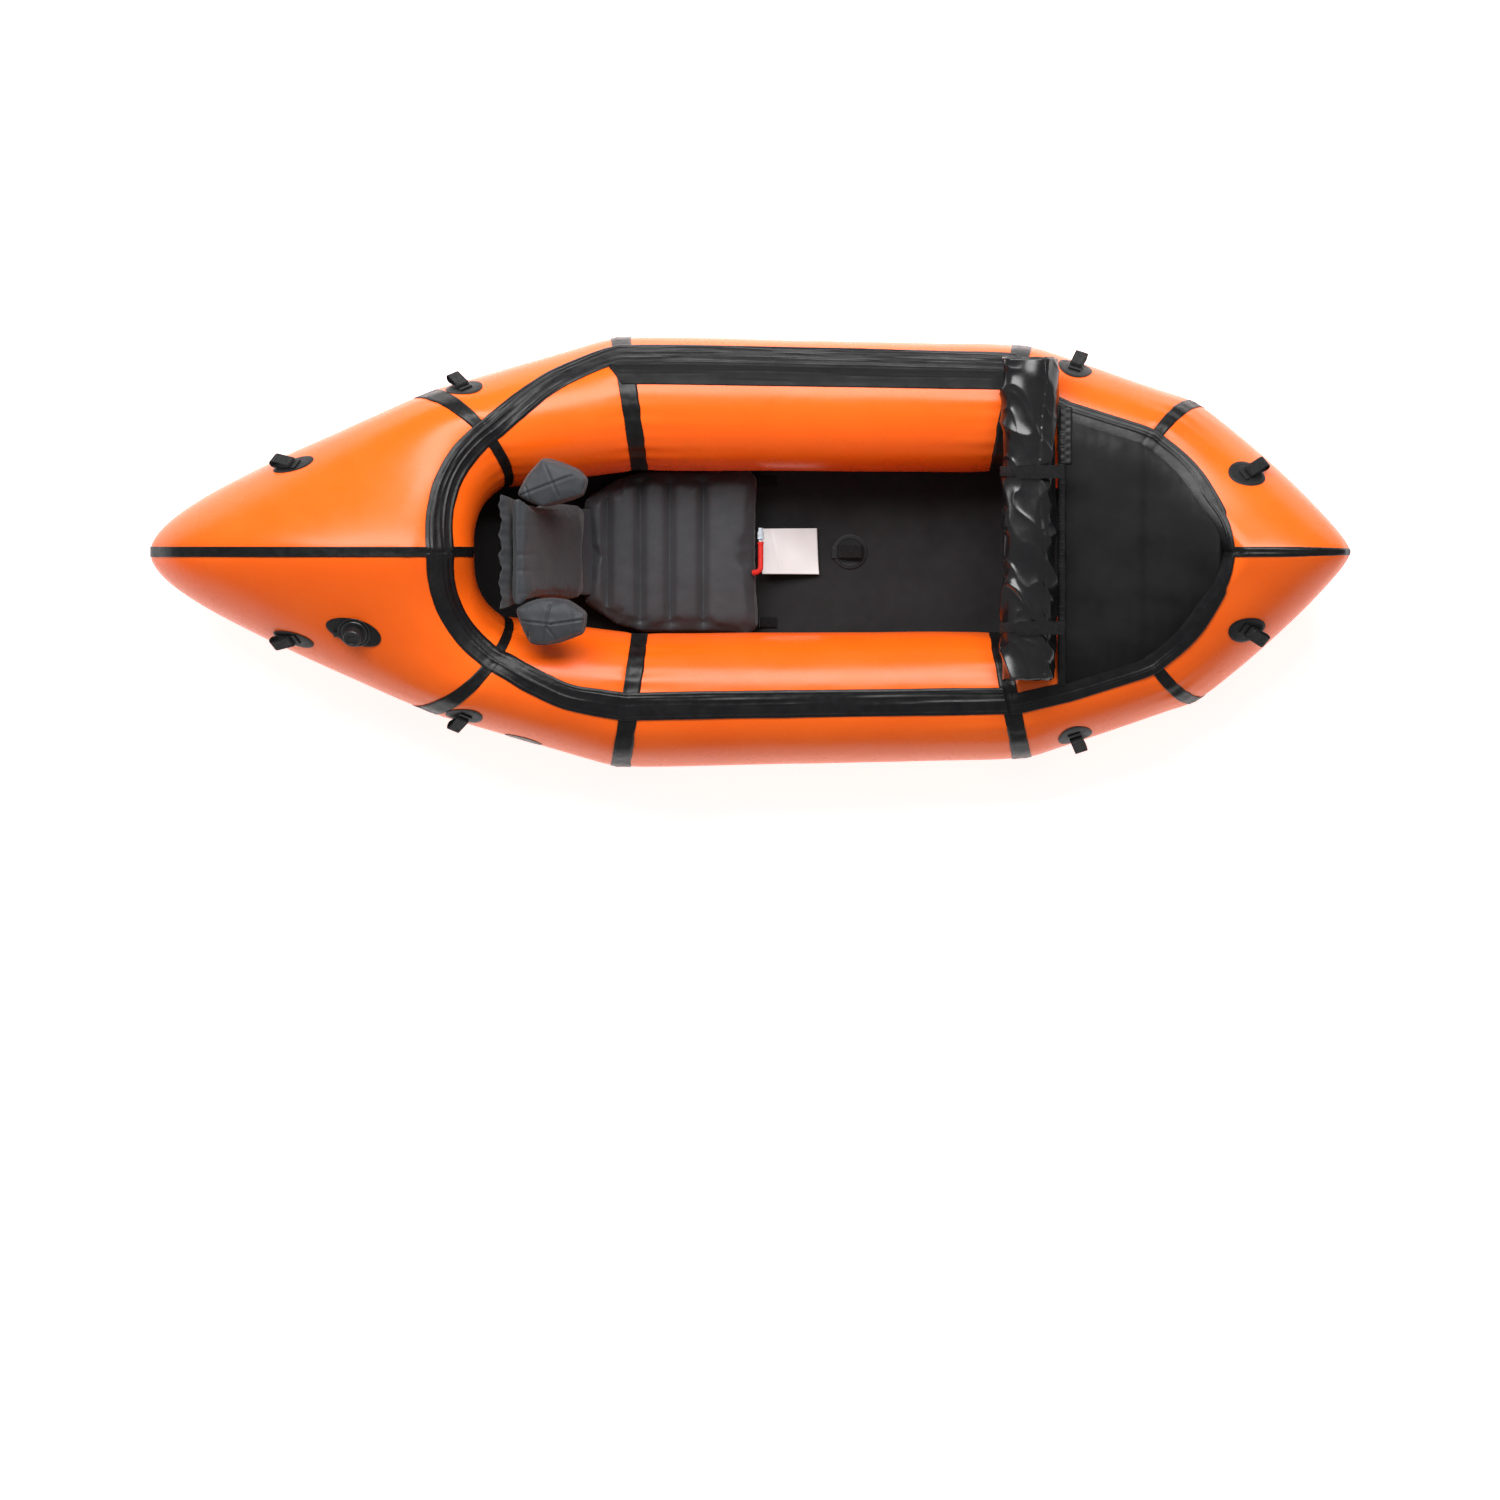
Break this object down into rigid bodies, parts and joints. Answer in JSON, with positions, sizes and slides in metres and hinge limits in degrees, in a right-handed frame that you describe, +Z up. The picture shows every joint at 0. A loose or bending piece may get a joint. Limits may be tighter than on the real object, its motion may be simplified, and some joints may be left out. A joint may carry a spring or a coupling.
{
  "type": "inflatable kayak",
  "caption": "Single-seat inflatable packraft with a bow deck, a rolled spraydeck, an inflatable seat with backrest, lashing loops and a skeg.",
  "frame": {"origin": "under the middle of the boat, on the level of the skeg's tip", "axes": "+X towards the bow, +Y to port, +Z up"},
  "size_m": [2.3526, 0.8528, 0.4739],
  "materials": {
    "tube_fabric": "glossy coated fabric",
    "seam_tape": "glossy film",
    "coaming_fabric": "glossy coated fabric",
    "floor_fabric": "matte coated fabric",
    "deck_fabric": "satin coated fabric",
    "webbing": "woven webbing",
    "patch_fabric": "satin coated fabric",
    "seat_fabric": "matte coated fabric",
    "red_plastic": "glossy",
    "clear_plastic": "glossy, translucent",
    "tag_paper": "matte",
    "valve_plastic": "satin",
    "skeg_plastic": "satin"
  },
  "bodies": {
    "hull": {"stern_panel_port": "tube_fabric", "stern_panel_starboard": "tube_fabric", "stern_quarter_port": "tube_fabric", "stern_quarter_starboard": "tube_fabric", "side_tube_port": "tube_fabric", "side_tube_starboard": "tube_fabric", "bow_quarter_port": "tube_fabric", "bow_quarter_starboard": "tube_fabric", "bow_panel_port": "tube_fabric", "bow_panel_starboard": "tube_fabric", "stern_centre_tape": "seam_tape", "bow_centre_tape": "seam_tape", "seam_tape_a_port": "seam_tape", "seam_tape_a_starboard": "seam_tape", "seam_tape_b_port": "seam_tape", "seam_tape_b_starboard": "seam_tape", "seam_tape_c_port": "seam_tape", "seam_tape_c_starboard": "seam_tape", "seam_tape_d_port": "seam_tape", "seam_tape_d_starboard": "seam_tape", "floor_sheet": "floor_fabric", "coaming_port": "coaming_fabric", "coaming_starboard": "coaming_fabric", "spraydeck_band": "coaming_fabric", "bow_deck": "deck_fabric", "deck_border": "coaming_fabric", "deck_hem": "deck_fabric", "spraydeck_roll": "deck_fabric", "roll_strap_port": "webbing", "roll_strap_starboard": "webbing", "seat_cushion": "seat_fabric", "seat_ties": "webbing", "backrest_hinge": "seat_fabric", "oral_valve_stem": "red_plastic", "paper_tag": "tag_paper", "floor_patch": "patch_fabric", "lashing_patches": "patch_fabric", "valve_patch": "patch_fabric", "valve_body": "valve_plastic", "valve_leash": "webbing", "badge": "patch_fabric", "skeg_base": "skeg_plastic"},
    "backrest": {"backrest_panel": "seat_fabric", "backrest_wing_port": "seat_fabric", "backrest_wing_starboard": "seat_fabric", "backrest_flange": "seat_fabric"},
    "oral_cap": {"oral_valve_cap": "clear_plastic"},
    "tab_port": {"roll_tab_port": "webbing"},
    "tab_starboard": {"roll_tab_starboard": "webbing"},
    "floor_loop_body": {"floor_loop": "webbing"},
    "valve_cap_body": {"valve_cap": "valve_plastic"},
    "skeg": {"skeg_fin": "skeg_plastic"},
    "loop_1": {"lash_loop_1": "webbing"},
    "loop_2": {"lash_loop_2": "webbing"},
    "loop_3": {"lash_loop_3": "webbing"},
    "loop_4": {"lash_loop_4": "webbing"},
    "loop_5": {"lash_loop_5": "webbing"},
    "loop_6": {"lash_loop_6": "webbing"},
    "loop_7": {"lash_loop_7": "webbing"},
    "loop_8": {"lash_loop_8": "webbing"}
  },
  "joints": [
    {"name": "backrest_fold", "type": "hinge", "parent": "hull", "child": "backrest", "pos_m": [-0.326, 0, 0.1645], "axis": [0, 1, 0], "range_deg": [0, 45]},
    {"name": "skeg_slide", "type": "slide", "parent": "hull", "child": "skeg", "axis": [-0.9983, 0, 0.0576], "range_m": [0, 0.15]},
    {"name": "oral_cap_push", "type": "slide", "parent": "hull", "child": "oral_cap", "axis": [0, -1, 0], "range_m": [0, 0.004]},
    {"name": "tab_port_peel", "type": "hinge", "parent": "hull", "child": "tab_port", "pos_m": [0.614, 0.157, 0.4264], "axis": [0, 1, 0], "range_deg": [0, 150]},
    {"name": "tab_starboard_peel", "type": "hinge", "parent": "hull", "child": "tab_starboard", "pos_m": [0.614, -0.149, 0.4264], "axis": [0, 1, 0], "range_deg": [0, 150]},
    {"name": "floor_loop_flip", "type": "hinge", "parent": "hull", "child": "floor_loop_body", "pos_m": [0.177, 0, 0.0785], "axis": [0, -1, 0], "range_deg": [0, 150]},
    {"name": "valve_cap_turn", "type": "hinge", "parent": "hull", "child": "valve_cap_body", "pos_m": [-0.77598, -0.16071, 0.39084], "axis": [-0.2029, -0.5518, 0.8089], "range_deg": [0, 360]},
    {"name": "loop_1_flip", "type": "hinge", "parent": "hull", "child": "loop_1", "pos_m": [-0.9001, 0.17525, 0.31747], "axis": [0.5131, 0.6389, -0.5732], "range_deg": [0, 145]},
    {"name": "loop_2_flip", "type": "hinge", "parent": "hull", "child": "loop_2", "pos_m": [-0.9001, -0.17525, 0.31747], "axis": [-0.5131, 0.6389, 0.5732], "range_deg": [0, 145]},
    {"name": "loop_3_flip", "type": "hinge", "parent": "hull", "child": "loop_3", "pos_m": [-0.56309, 0.32895, 0.30504], "axis": [0.86, 0.3563, -0.3653], "range_deg": [0, 145]},
    {"name": "loop_4_flip", "type": "hinge", "parent": "hull", "child": "loop_4", "pos_m": [-0.56309, -0.32895, 0.30504], "axis": [-0.86, 0.3563, 0.3653], "range_deg": [0, 145]},
    {"name": "loop_5_flip", "type": "hinge", "parent": "hull", "child": "loop_5", "pos_m": [0.63881, 0.36733, 0.2716], "axis": [0.949, -0.3036, 0.0847], "range_deg": [0, 145]},
    {"name": "loop_6_flip", "type": "hinge", "parent": "hull", "child": "loop_6", "pos_m": [0.63881, -0.36733, 0.2716], "axis": [-0.949, -0.3036, -0.0847], "range_deg": [0, 145]},
    {"name": "loop_7_flip", "type": "hinge", "parent": "hull", "child": "loop_7", "pos_m": [0.97813, 0.15772, 0.37061], "axis": [0.5838, -0.6993, 0.4124], "range_deg": [0, 145]},
    {"name": "loop_8_flip", "type": "hinge", "parent": "hull", "child": "loop_8", "pos_m": [0.97813, -0.15772, 0.37061], "axis": [-0.5838, -0.6993, -0.4124], "range_deg": [0, 145]}
  ]
}
